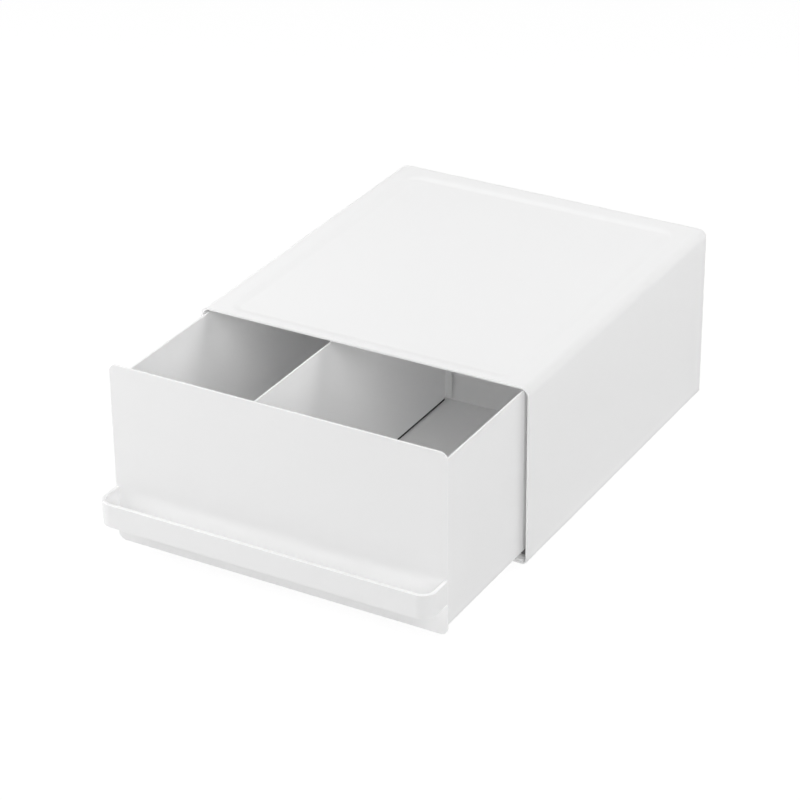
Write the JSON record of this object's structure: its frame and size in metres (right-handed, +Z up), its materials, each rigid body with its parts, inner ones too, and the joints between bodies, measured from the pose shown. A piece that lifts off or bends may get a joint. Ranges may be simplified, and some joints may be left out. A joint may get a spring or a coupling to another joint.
{
  "type": "stackable drawer box",
  "caption": "Bent sheet-metal box with a pull-out drawer, a bar handle and a sliding divider; its feet nest in the pressed recess of the box below.",
  "frame": {"origin": "on the surface the box stands on, in the middle of the whole box as pictured, with the drawer drawn out 86 mm", "axes": "+X to the right as seen by someone facing the drawer front, +Y from the handle towards the back of the case, +Z up"},
  "size_m": [0.2, 0.33, 0.1132],
  "materials": {
    "coated_steel": "matte white powder coat with a very fine texture",
    "rubber": "matte",
    "nylon": "grey, satin, moulded",
    "magnet_strip": "matte, flexible ferrite strip"
  },
  "bodies": {
    "case": {"case_wrap": "coated_steel", "case_back": "coated_steel", "case_base": "coated_steel", "foot_front_left": "rubber", "foot_front_right": "rubber", "foot_back_left": "rubber", "foot_back_right": "rubber", "case_glide_left": "nylon", "case_glide_right": "nylon", "bumper_left": "rubber", "bumper_right": "rubber"},
    "drawer": {"drawer_tray": "coated_steel", "drawer_back": "coated_steel", "drawer_front": "coated_steel", "pull_handle": "coated_steel", "drawer_glide_left": "nylon", "drawer_glide_right": "nylon"},
    "divider": {"divider": "coated_steel", "divider_magnet_front": "magnet_strip", "divider_magnet_back": "magnet_strip", "divider_foot_strip": "rubber"}
  },
  "joints": [
    {"name": "drawer_slide", "type": "slide", "parent": "case", "child": "drawer", "axis": [0, -1, 0], "range_m": [-0.0855, 0.088]},
    {"name": "divider_slide", "type": "slide", "parent": "drawer", "child": "divider", "axis": [1, 0, 0], "range_m": [-0.067, 0.103]}
  ]
}
